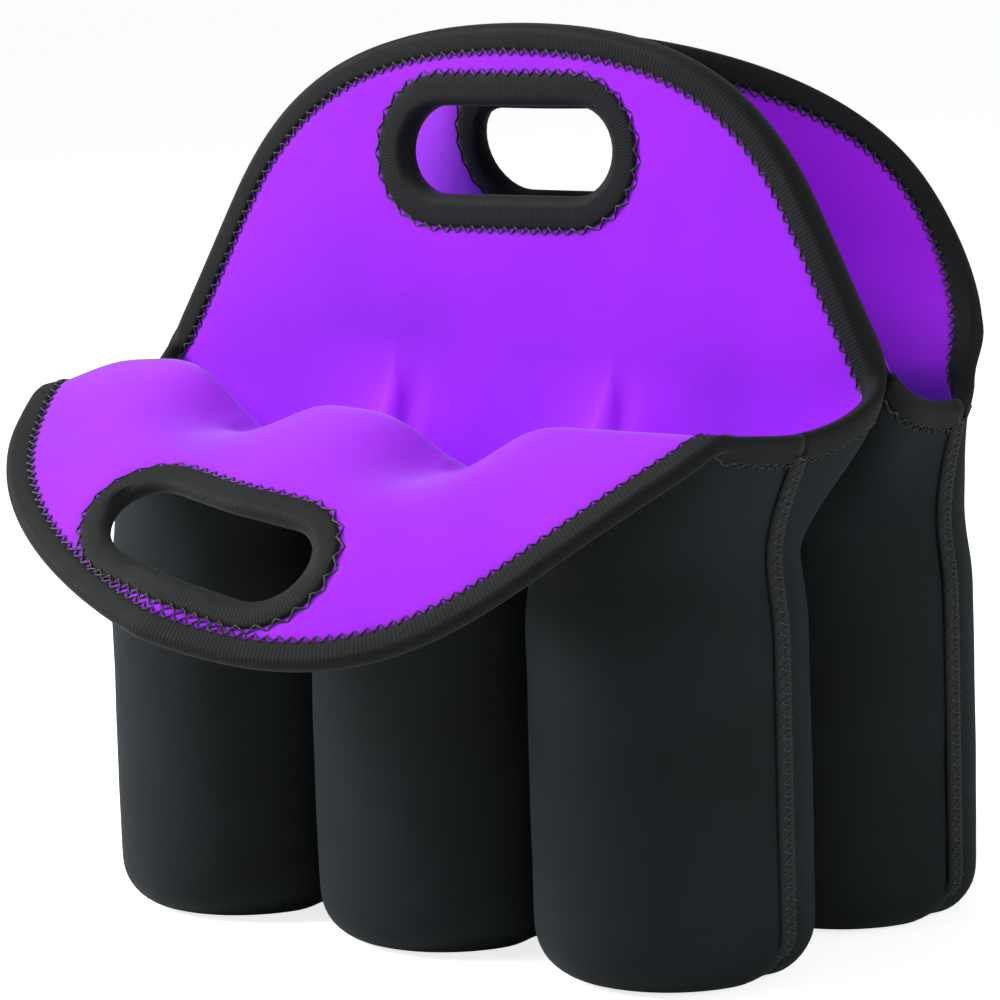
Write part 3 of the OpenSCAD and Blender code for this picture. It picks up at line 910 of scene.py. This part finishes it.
@dataclass
class HalfSheet:
    """Three half pockets, the collar above them and the panel that it folds into, in two layers."""

    name: str
    row_y: float
    facing: Facing
    panel: FrontPanel | MiddlePanel | BackPanel
    arch: Arch
    hole: HandleHole
    seam_top: Pair = SEAM_TOP
    cup: Cup = Cup()
    root_start: float = 6.0
    wall_pull: float = 34.0
    fold_pull: float = 26.0
    black: float = 1.9
    coloured: float = 1.5
    free_from: int = 135
    turns: int = 24
    collar_steps: int = 14
    panel_steps: int = 26
    crumple: float = 0.35
    settle: float = 1.0
    crease_from: float = 62.0
    crease_top: float = 160.0
    press_reach: float = 9.0
    edge_pull: float = 0.9
    pocket_cloth: float = 110.0
    panel_cloth_from: float = 190.0

    def world(self, p: float, y: float, z: float) -> Array:
        """A place from p, counted along the columns, y out from the row's middle, and z."""
        return np.array([-self.facing.value * p, self.row_y + self.facing.value * y, z])

    def on_panel(self, p: float, b: float) -> Array:
        """A place on the panel, p counted along the columns."""
        return self.panel.point(-self.facing.value * p, b)

    def panel_slope(self, p: float, b: float) -> Array:
        """The direction in which the cloth leaves the fold."""
        return unit(self.on_panel(p, b + 1.0) - self.on_panel(p, b - 1.0))

    def edge_point(self, sign: int, share: float) -> Array:
        """A place on the free edge, from the panel's corner to the top of the side seam.

        Args:
            sign: Which end of the columns, -1 or 1.
            share: From 0 at the corner to 1 at the seam.

        Returns:
            The point.
        """
        half = self.arch.half_width
        corner = self.on_panel(sign * half, self.root_start)
        top = self.world(sign * self.seam_top[0], 0.0, self.seam_top[1])
        reach = float(np.linalg.norm(corner - top))
        first, second = self.arch.outline(self.root_start, 180)[:2] * [-sign, 1]
        start_pull = unit(self.on_panel(*first) - self.on_panel(*second)) * reach * self.edge_pull
        end_pull = np.array([0.0, -self.facing.value * reach * 0.9, 0.0])
        return hermite(corner, start_pull, top, end_pull, share)

    def column_top(self, pocket: int, angle: float) -> tuple[Array, Array, float | None]:
        """Where a column of a pocket ends.

        Args:
            pocket: -1, 0 or 1 along the columns.
            angle: Degrees round the half pocket, from 0 to 180.

        Returns:
            The end point, the cloth's direction there, and the place across the panel (None on a free edge).
        """
        pitch, half = self.cup.pitch, self.arch.half_width
        outer = angle if pocket == 1 else 180 - angle
        free = self.free_from
        if pocket == 0 or outer <= 90:
            p = pocket * pitch - pitch / 2 * math.cos(math.radians(angle))
        elif outer <= free:
            p = pocket * (pitch + (half - pitch) * (outer - 90) / (free - 90))
        else:
            share = (outer - free) / (180 - free)
            slope = self.panel_slope(pocket * half, self.root_start)
            up = unit(self.world(pocket * SEAM_LEAN, 0.0, 1.0) - self.world(0.0, 0.0, 0.0))
            return self.edge_point(pocket, share), unit(slope + (up - slope) * smooth(share * 1.4)), None
        return self.on_panel(p, self.root_start), self.panel_slope(p, self.root_start), p

    def pocket_patch(self, pocket: int) -> Object:
        """One half pocket with the collar above it."""
        profile = self.cup.profile()
        rows = len(profile) + self.collar_steps
        points = np.zeros((rows, self.turns + 1, 3))
        cloth = np.zeros((rows, self.turns + 1, 2))
        for j in range(self.turns + 1):
            angle = 180 * j / self.turns
            c, s = math.cos(math.radians(angle)), math.sin(math.radians(angle))
            column = [self.world(pocket * self.cup.pitch - r * c, r * s, z) for r, z in profile]
            sign = {0.0: -1, 180.0: 1}.get(angle, 0)
            if sign and pocket != sign:
                crease = -self.facing.value * (pocket + sign / 2) * self.cup.pitch
                for place in column:
                    place[0] += (crease - place[0]) * smooth((place[2] - self.crease_from) / 18)
            top, slope, _ = self.column_top(pocket, angle)
            start = column[-1]
            reach = float(np.linalg.norm(top - start))
            rise = np.array([0, 0, 1.0]) * min(self.wall_pull, reach * 1.1)
            over = slope * min(self.fold_pull, reach * 0.9)
            for t in np.linspace(0, 1, self.collar_steps + 1)[1:]:
                place = hermite(start, rise, top, over, t)
                place[1] = hermite(start, rise, top, over, t**self.settle)[1]
                column.append(place)
            points[:, j] = column
            cloth[:, j, 0] = pocket * self.pocket_cloth + math.radians(angle) * self.cup.radius
            cloth[:, j, 1] = run_length(points[:, j])
        return Bench.grid(f"{self.name}_pocket_{pocket + 2}", points, cloth)

    def panel_patch(self) -> Object:
        """The panel above the collar, with its handle hole cut out."""
        columns: list[float] = []
        for pocket in (-1, 0, 1):
            for j in range(self.turns + 1):
                p = self.column_top(pocket, 180 * j / self.turns)[2]
                if p is not None and (not columns or p > columns[-1] + 1e-6):
                    columns.append(p)
        roots = np.array(columns)
        outline = self.arch.outline(self.root_start, 400)
        at = run_length(outline)
        share = (roots + self.arch.half_width) / (2 * self.arch.half_width) * at[-1]
        ends = np.column_stack([np.interp(share, at, outline[:, i]) for i in (0, 1)])
        v = np.linspace(0, 1, self.panel_steps + 1)[:, None]
        a = roots[None] + (ends[:, 0] - roots)[None] * v
        b = self.root_start + (ends[:, 1] - self.root_start)[None] * v
        world_a = -self.facing.value * a
        centre = self.hole.distance(
            (world_a[:-1, :-1] + world_a[1:, 1:]) / 2, (b[:-1, :-1] + b[1:, 1:]) / 2
        )
        gone = centre < 0.5
        near = self.hole.distance(world_a, b) < 0.9
        pushed_a, pushed_b = self.hole.push_out(world_a, b, 0.9)
        world_a, b = np.where(near, pushed_a, world_a), np.where(near, pushed_b, b)
        points = np.array([
            [self.panel.point(x, y) for x, y in zip(line_a, line_b)] for line_a, line_b in zip(world_a, b)
        ])
        cloth = np.stack([-self.facing.value * world_a, b + self.panel_cloth_from], axis=-1)
        obj = Bench.grid(f"{self.name}_panel", points, cloth)
        Bench.drop_faces(obj, gone)
        return obj

    def surface(self) -> Object:
        """The whole surface between the two layers, subdivided and slightly uneven."""
        patches = [self.pocket_patch(k) for k in (-1, 0, 1)] + [self.panel_patch()]
        obj = Bench.weld(patches, 0.01)
        obj.name = obj.data.name = f"{self.name}_surface"
        Bench.modify(obj, "SUBSURF", levels=1, render_levels=1, boundary_smooth="PRESERVE_CORNERS")
        self.crumple_cloth(obj)
        return obj

    def crumple_cloth(self, obj: Object) -> None:
        """Moves the surface in and out by a fraction of a millimetre."""
        mesh = obj.data
        moved = []
        for vertex in mesh.vertices:
            place = vertex.co / MM
            broad = noise.noise(place / BROAD_SWELL + Vector((3.1, 7.7, 1.3)))
            small = noise.noise(place / SMALL_SWELL + Vector((9.4, 2.2, 5.8)))
            high = smooth((place.z - 4) / 12)  # none on the flat bases
            moved.append(vertex.co + vertex.normal * (MM * self.crumple * high * (1.6 * broad + 0.5 * small)))
        for vertex, place in zip(mesh.vertices, moved):
            vertex.co = place
        mesh.update()

    def layer(self, surface: Object, name: str, side: Side) -> Object:
        """One layer of cloth on its side of the surface.

        Args:
            surface: The surface between the layers.
            name: The layer's name.
            side: Black or coloured.

        Returns:
            The layer as a closed solid.
        """
        obj = Bench.copy(surface, name)
        thick = self.black if side is Side.BLACK else self.coloured
        self.press(obj)
        Bench.modify(
            obj, "SOLIDIFY", thickness=thick * MM, offset=side.value, use_rim=True, vertex_group="fullness"
        )
        Bench.soften(obj)
        return obj

    def press(self, obj: Object) -> None:
        """Weighs the cloth's fullness, less where it is bound, seamed or creased between pockets."""
        mesh = obj.data
        uses = np.zeros(len(mesh.edges), dtype=int)
        numbers = {edge.key: i for i, edge in enumerate(mesh.edges)}
        for face in mesh.polygons:
            for key in face.edge_keys:
                uses[numbers[key]] += 1
        rim = {v for edge, count in zip(mesh.edges, uses) if count == 1 for v in edge.vertices}
        tree = KDTree(len(rim))
        for v in rim:
            tree.insert(mesh.vertices[v].co, v)
        tree.balance()
        group = obj.vertex_groups.new(name="fullness")
        for vertex in mesh.vertices:
            place = vertex.co / MM
            inside = smooth(tree.find(vertex.co)[2] / MM / self.press_reach)
            weight = SEWN_FULLNESS + (1 - SEWN_FULLNESS) * inside
            crease = abs(abs(place.x) - self.cup.pitch / 2)
            outward = abs(place.y - self.row_y)
            fade = smooth((place.z - self.crease_from + 12) / 10) * smooth((self.crease_top - place.z) / 24)
            fade *= smooth((self.cup.radius + 8 - outward) / 8)
            weight = min(weight, 1 - CREASE_PRESS * fade * (1 - smooth(crease / CREASE_REACH)))
            group.add([vertex.index], weight, "REPLACE")

    def free_edge(self, sign: int, shares: Array) -> tuple[list[Array], list[Array]]:
        """A free edge beside the panel.

        Args:
            sign: Which end of the columns, -1 or 1.
            shares: Where to take points, from 0 at the panel's corner to 1 at the seam.

        Returns:
            The points, and the way into the cloth at each.
        """
        turned = [self.free_from - 90 + (180 - self.free_from) * share for share in shares]
        tops = [self.column_top(sign, 90 + sign * angle) for angle in turned]
        return [top for top, _, _ in tops], [-slope for _, slope, _ in tops]

    def outline_edge(self) -> CutEdge:
        """The edge from one side seam's top over the panel to the other's, with the way into the cloth."""
        line = self.arch.outline(self.root_start, 180)
        tangent = CutEdge(line, line).tangents(line)
        inside = line + np.column_stack([tangent[:, 1], -tangent[:, 0]]) * 2.0
        points = [self.on_panel(*p) for p in line]
        inward = [unit(self.on_panel(*q) - self.on_panel(*p)) for p, q in zip(line, inside)]
        left, right = (self.free_edge(sign, np.linspace(0, 1, 16)[1:]) for sign in (-1, 1))
        return CutEdge(
            np.array(left[0][::-1] + points + right[0]), np.array(left[1][::-1] + inward + right[1])
        )

    def hole_edge(self) -> CutEdge:
        """The handle hole's edge."""
        line, away = self.hole.loop(64)
        points = np.array([self.panel.point(*p) for p in line])
        outer = np.array([self.panel.point(*p) for p in line + away * 2.0])
        return CutEdge(points, unit(outer - points), True)


# The carrier


@dataclass(frozen=True)
class Bend:
    """A fold: the body that its panel belongs to, and two points at its joint."""

    body: str
    start: Triple
    end: Triple

    def apply(self, obj: Object) -> None:
        """Bakes the piece's placement into its mesh."""
        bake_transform(obj)


FRONT_BEND = Bend("front_flap", (0.0, -85.6, 85.6), (0.0, -92.6, 92.6))
MIDDLE_BEND = Bend("middle_panel", (0.0, 41.2, 150.0), (0.0, 41.2, 166.0))
BACK_BEND = Bend("back_flap", (0.0, 110.0, 145.0), (0.0, 110.0, 158.0))


def dress(obj: Object, finish: Material, nodes: list[str]) -> Object:
    """Gives a finished piece its material and hides the model's parts that it stands for.

    Args:
        obj: The piece.
        finish: Its material.
        nodes: The model's nodes that it stands for.

    Returns:
        The piece.
    """
    obj.data.materials.clear()
    obj.data.materials.append(finish)
    if nodes:
        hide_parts(*nodes)
    log.info("%s: %d faces", obj.name, len(obj.data.polygons))
    return obj


@dataclass
class PanelledSheet:
    """One half sheet with its layers, tapes and stitches."""

    sheet: HalfSheet
    bend: Bend
    finishes: Finishes
    black_nodes: list[str]
    coloured_nodes: list[str]
    flat: Pair
    cut_area: float = 0.071
    ground: Ground | None = None

    def build(self) -> None:
        """Makes both layers."""
        surface = self.sheet.surface()
        self.ground = Ground(surface)
        for side, finish, slot, nodes, word in (
            (Side.BLACK, self.finishes.black, Slot.BLACK, self.black_nodes, "cloth"),
            (Side.COLOURED, self.finishes.purple, Slot.PURPLE, self.coloured_nodes, "lining"),
        ):
            obj = self.sheet.layer(surface, f"{self.sheet.name}_{word}", side)
            dress(obj, finish, nodes)
            self.bend.apply(obj)
        bpy.data.objects.remove(surface, do_unlink=True)

    def bind(self, name: str, edge: CutEdge, nodes: list[str], **sizes: object) -> None:
        """Binds an edge with tape and sews it on both faces.

        Args:
            name: The tape's name.
            edge: The cut edge.
            nodes: The model's nodes that the tape stands for.
            sizes: Sizes of the binding that differ from the usual ones.
        """
        binding = Binding(name, edge, self.ground, **sizes)
        tape = dress(binding.build(), self.finishes.tape, nodes)
        self.bend.apply(tape)
        for side in (Side.COLOURED, Side.BLACK):
            sewn = binding.stitches(f"{name}_stitches_{side.name.lower()}", side)
            dress(sewn, self.finishes.thread, [])
            self.bend.apply(sewn)


@dataclass
class SideSeam:
    """The flat seam down the side of a row, with its zigzag."""

    name: str
    row_y: float
    sign: int
    finishes: Finishes
    seam_top: Pair
    width: float = 6.0
    proud: float = 0.8
    over_cloth: float = 1.9
    bury: float = 2.6
    lowest: float = 4.5
    reach_up: float = 0.86
    zigzags: int = 93
    cup: Cup = Cup()

    def line(self) -> tuple[Array, Array]:
        """Points down the seam on the black face, and the way out of the cloth."""
        profile = [(r, z) for r, z in self.cup.profile() if z > self.lowest]
        base = self.cup.pitch
        start = np.array([base + profile[-1][0], 0.0, profile[-1][1]])
        top = np.array([self.seam_top[0], 0.0, self.seam_top[1]])
        up = unit(np.array([SEAM_LEAN, 0.0, 1.0]))
        reach = float(np.linalg.norm(top - start))
        rise = np.array([0, 0, 1.0]) * min(HalfSheet.wall_pull, reach * 1.1)
        over = up * min(HalfSheet.fold_pull, reach * 0.9)
        curve = [hermite(start, rise, top, over, t) for t in np.linspace(0, self.reach_up, 14)[1:]]
        points = np.vstack([[[base + r, 0.0, z] for r, z in profile], curve])
        points = spaced(points, 70)[0]
        tangent = CutEdge(points, points).tangents(points)
        out = np.column_stack([tangent[:, 2], np.zeros(len(points)), -tangent[:, 0]])
        points = points + out * np.array(
            [[self.over_cloth - self.bury * (1 - smooth(k / 5))] for k in range(len(points))]
        )
        points[:, 0] *= self.sign
        out[:, 0] *= self.sign
        points[:, 1] += self.row_y
        return points, out

    def build(self) -> None:
        """Makes the band and its stitches."""
        points, out = self.line()
        across = np.tile([0.0, 1.0, 0.0], (len(points), 1))
        w, h = self.width / 2, self.proud
        section = [
            (-w, -0.5), (-w, 0.1), (-w + 0.4, h * 0.8), (-w * 0.5, h), (-0.3, h), (0.0, h * 0.6), (0.3, h),
            (w * 0.5, h), (w - 0.4, h * 0.8), (w, 0.1), (w, -0.5),
        ]
        band = Bench.tube(f"{self.name}_seam_band", points, across, out, section)
        dress(band, self.finishes.seam, [f"{self.name}_side_seam"])
        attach(band, "carrier")
        rows = spaced(points, self.zigzags, out)
        sway = np.where(np.arange(self.zigzags) % 2, 1.0, -1.0)[:, None] * across[:1] * (w - 0.7)
        path = rows[0] + sway + unit(rows[1]) * (h + 0.1)
        beside = unit(np.cross(unit(np.gradient(path, axis=0)), rows[1]))
        sewn = Bench.tube(f"{self.name}_seam_band_stitches", path, beside, unit(rows[1]), THREAD_SECTION)
        dress(sewn, self.finishes.seam_thread, [])
        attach(sewn, "carrier")


@dataclass
class Divider:
    """The narrow join between two pockets of a row."""

    name: str
    x: float
    row_y: float
    finishes: Finishes
    width: float = 6.4
    low: float = 14.0
    high: float = 78.0
    rings: int = 34

    def build(self) -> None:
        """Makes the join, waisted where the pockets bulge."""
        centres = np.linspace([self.x, self.row_y, self.low], [self.x, self.row_y, self.high], self.rings)
        across, up = (np.tile(way, (self.rings, 1)) for way in ([1.0, 0, 0], [0, 1.0, 0]))
        h = self.width / 2
        section = [
            (-1.2, -h), (0.0, -h + 0.8), (1.2, -h), (1.0, 0.0), (1.2, h), (0.0, h - 0.8), (-1.2, h), (-1.0, 0.0),
        ]
        obj = Bench.tube(f"{self.name}_join", centres, across, up, section)
        dress(obj, self.finishes.black, [self.name])
        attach(obj, "carrier")


@dataclass
class CentreWeb:
    """The rows' backs, joined between them."""

    finishes: Finishes
    middle_y: float
    half_width: float = 84.0
    low: float = 13.0
    high: float = 150.0
    half_thick: float = 2.1
    top_thinning: float = 0.82
    thinning_from: float = 108.0

    def build(self) -> None:
        """Makes the join, thinner where the middle panel starts."""
        z = np.linspace(self.low, self.high, 40)
        thick = np.array([
            self.half_thick * (1 - self.top_thinning * smooth((h - self.thinning_from) / 40)) for h in z
        ])
        x = np.linspace(-self.half_width, self.half_width, 30)
        front = [[[a, self.middle_y - t, h] for a in x] for h, t in zip(z, thick)]
        back = [[[a, self.middle_y + t, h] for a in x[::-1]] for h, t in zip(z, thick)]
        body = np.array([f + b + f[:1] for f, b in zip(front, back)])
        obj = Bench.closed("rows_web", body)
        Bench.modify(obj, "BEVEL", width=0.4 * MM, segments=2, limit_method="ANGLE")
        dress(obj, self.finishes.black, ["centre_web"])
        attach(obj, "carrier")


@dataclass
class Carrier:
    """The whole carrier, placed by the model's joints and boxes."""

    finishes: Finishes
    pitch_y: float = 78.4

    def place(self, joint: str) -> Pair:
        """A fold's place to the back and its height, from its joint, in millimetres."""
        found = next(j for j in frame["joints"] if j["name"] == joint)
        return found["pos_m"][1] / MM, found["pos_m"][2] / MM

    def build(self) -> None:
        """Builds every piece in order."""
        low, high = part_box("front_middle_pocket")
        front_y = (low[1] + high[1]) / 2 / MM
        rear_y = front_y + self.pitch_y
        middle_y, middle_z = self.place("middle_panel_lean")
        front = self.outer_sheet(FRONT_BEND, HalfSheet(
            "front_outer", front_y, Facing.FRONT, FrontPanel(*self.place("front_flap_fold")),
            Arch(root=10.0), HandleHole(along=67.8), edge_pull=0.4,
        ))
        inner = HalfSheet(
            "front_inner", front_y, Facing.BACK, MiddlePanel(middle_y - INNER_GAP, middle_z),
            Arch(root=0.0), HandleHole(along=54.0), root_start=0.0, wall_pull=40.0, fold_pull=40.0, settle=0.62,
        )
        front_inner = self.inner_sheet(inner)
        rear_inner = self.inner_sheet(replace(
            inner, name="rear_inner", row_y=rear_y, facing=Facing.FRONT, seam_top=REAR_SEAM_TOP,
            panel=MiddlePanel(middle_y + INNER_GAP, middle_z),
        ))
        rear = self.outer_sheet(BACK_BEND, HalfSheet(
            "rear_outer", rear_y, Facing.BACK, BackPanel(*self.place("back_flap_fold")),
            Arch(root=12.0), HandleHole(along=66.0), seam_top=REAR_SEAM_TOP,
        ))
        for sheet in (front, front_inner, rear_inner, rear):
            sheet.build()
        front.bind("front_flap_binding", front.sheet.outline_edge(), ["front_flap_tape"])
        front.bind("front_handle_binding", front.sheet.hole_edge(), ["front_handle_tape"], width=7.0)
        rear.bind("back_flap_binding", rear.sheet.outline_edge(), ["back_flap_tape"])
        rear.bind("back_handle_binding", rear.sheet.hole_edge(), ["back_handle_tape"], width=8.0)
        both = self.double_thickness(front_inner.sheet)
        front_inner.bind(
            "middle_panel_binding", front_inner.sheet.outline_edge(),
            ["middle_panel_tape", "front_left_rim_tape", "front_right_rim_tape"], over_black=both,
        )
        front_inner.bind(
            "middle_handle_binding", front_inner.sheet.hole_edge(), ["middle_handle_tape"],
            width=8.0, over_black=DOUBLE_CLOTH,
        )
        for side, sign in (("left", -1), ("right", 1)):
            edge = CutEdge(*map(np.array, rear_inner.sheet.free_edge(sign, np.linspace(0.1, 1, 18))))
            rear_inner.bind(f"rear_{side}_rim_binding", edge, [f"rear_{side}_rim_tape"])
        for row, y, top in (("front", front_y, SEAM_TOP), ("rear", rear_y, REAR_SEAM_TOP)):
            for side, sign in (("left", -1), ("right", 1)):
                SideSeam(f"{row}_{side}", y, sign, self.finishes, top).build()
                Divider(f"{row}_{side}_divider", sign * Cup.pitch / 2, y, self.finishes).build()
        CentreWeb(self.finishes, middle_y).build()

    def outer_sheet(self, bend: Bend, half: HalfSheet) -> PanelledSheet:
        """An outer half sheet, standing for its row's pockets, collar and flap."""
        row = half.name.split("_")[0]
        black, lining = ([f"{row}_{place}_{word}" for place in ("left", "middle", "right")]
                         for word in ("pocket", "lining"))
        black += [f"{row}_collar", bend.body]
        lining += [f"{row}_collar_lining", f"{bend.body}_lining"]
        return PanelledSheet(half, bend, self.finishes, black, lining, OUTER_FLAT)

    def inner_sheet(self, half: HalfSheet) -> PanelledSheet:
        """An inner half sheet, standing for its row's inner wall and one face of the middle panel."""
        row = half.name.split("_")[0]
        lining = [f"{row}_inner_wall_lining", f"middle_panel_{row}"]
        return PanelledSheet(half, MIDDLE_BEND, self.finishes, [f"{row}_inner_wall"], lining, INNER_FLAT)

    @staticmethod
    def double_thickness(sheet: HalfSheet) -> Array:
        """How much cloth the middle panel's tape spans along its edge: both sheets, then one."""
        points = sheet.outline_edge().points
        at = run_length(points)
        height = np.interp(np.linspace(0, at[-1], 200), at, points[:, 2])
        other_sheet = DOUBLE_CLOTH - Binding.over_black
        return np.array([Binding.over_black + other_sheet * smooth((z - 154) / 12) for z in height])


@dataclass
class Studio:
    """A plain pale studio and the photograph's view."""

    centre: Triple = (0.0, 0.02, 0.12)
    camera_place: Triple = (0.7172, -0.8359, 0.2778)
    yaw: float = 0.6942
    pitch: float = 0.143
    roll: float = -0.031
    lens: float = 147.3
    shift: Pair = (0.0031, 0.0019)
    floor_glow: float = 0.80
    world_light: float = 0.2

    def build(self) -> None:
        """Adds the camera, the lamps, the floor and the world."""
        self.add_camera()
        self.add_lamp("key_softbox", (-1.3, -0.85, 0.95), 0.65, 30.0)
        self.add_lamp("fill_softbox", (1.45, 0.1, 0.5), 0.8, 6.5)
        self.add_lamp("top_softbox", (-0.4, -0.6, 1.5), 0.7, 9.0)
        self.add_floor()
        self.add_world()
        bpy.context.scene.view_settings.view_transform = "Standard"

    def add_camera(self) -> None:
        """Places the camera where the photograph was taken from."""
        sy, cy, sp, cp = math.sin(self.yaw), math.cos(self.yaw), math.sin(self.pitch), math.cos(self.pitch)
        forward = Vector((-sy * cp, cy * cp, -sp))
        right = Vector((cy, sy, 0.0))
        up = right.cross(forward)
        turned = right * math.cos(self.roll) + up * math.sin(self.roll)
        upright = up * math.cos(self.roll) - right * math.sin(self.roll)
        data = bpy.data.cameras.new("photo_camera")
        data.lens, data.sensor_width = self.lens, 36.0
        data.shift_x, data.shift_y = self.shift
        data.clip_start, data.clip_end = 0.05, 100.0
        camera = bpy.data.objects.new("photo_camera", data)
        turn = Matrix((turned, upright, -forward)).transposed()
        camera.matrix_world = Matrix.Translation(self.camera_place) @ turn.to_4x4()
        bpy.context.scene.collection.objects.link(camera)
        bpy.context.scene.camera = camera

    def add_lamp(self, name: str, place: Triple, size: float, power: float) -> None:
        """Adds a square softbox aimed at the carrier."""
        data = bpy.data.lights.new(name, "AREA")
        data.shape, data.size, data.energy = "SQUARE", size, power
        lamp = bpy.data.objects.new(name, data)
        aim = Vector(self.centre) - Vector(place)
        lamp.matrix_world = Matrix.Translation(place) @ aim.to_track_quat("-Z", "Y").to_matrix().to_4x4()
        bpy.context.scene.collection.objects.link(lamp)

    def add_floor(self) -> None:
        """Adds a white floor that keeps the carrier's shadow."""
        Bench.clear_selection()
        bpy.ops.mesh.primitive_plane_add(size=80.0, location=(0, 0, 0))
        floor = bpy.context.object
        floor.name = "studio_floor"
        paint = Paint("white_floor")
        paint.shader.inputs["Base Color"].default_value = (0.9, 0.9, 0.9, 1)
        paint.shader.inputs["Roughness"].default_value = 0.9
        rays = paint.node("ShaderNodeLightPath")
        paint.shader.inputs["Emission Color"].default_value = (1, 1, 1, 1)
        glow = paint.product(rays.outputs["Is Camera Ray"], self.floor_glow)
        paint.feed(paint.shader.inputs["Emission Strength"], glow)
        floor.data.materials.append(paint.material)

    def add_world(self) -> None:
        """Lights the scene evenly, and shows white to the camera."""
        world = bpy.data.worlds.new("white_studio")
        bpy.context.scene.world = world
        world.use_nodes = True
        nodes, links = world.node_tree.nodes, world.node_tree.links
        nodes.clear()
        rays, mix = nodes.new("ShaderNodeLightPath"), nodes.new("ShaderNodeMixShader")
        links.new(rays.outputs["Is Camera Ray"], mix.inputs["Fac"])
        for slot, colour, strength in ((1, (0.95, 0.97, 1.0, 1), self.world_light), (2, (1, 1, 1, 1), 1.0)):
            light = nodes.new("ShaderNodeBackground")
            light.inputs["Color"].default_value, light.inputs["Strength"].default_value = colour, strength
            links.new(light.outputs[0], mix.inputs[slot])
        links.new(mix.outputs[0], nodes.new("ShaderNodeOutputWorld").inputs["Surface"])


def main() -> None:
    """Builds the studio and the carrier."""
    logging.basicConfig(level=logging.INFO, format="%(name)s %(message)s")
    Bench.clear_selection()
    Studio().build()
    Carrier(Finishes()).build()


if __name__ == "__main__":
    main()
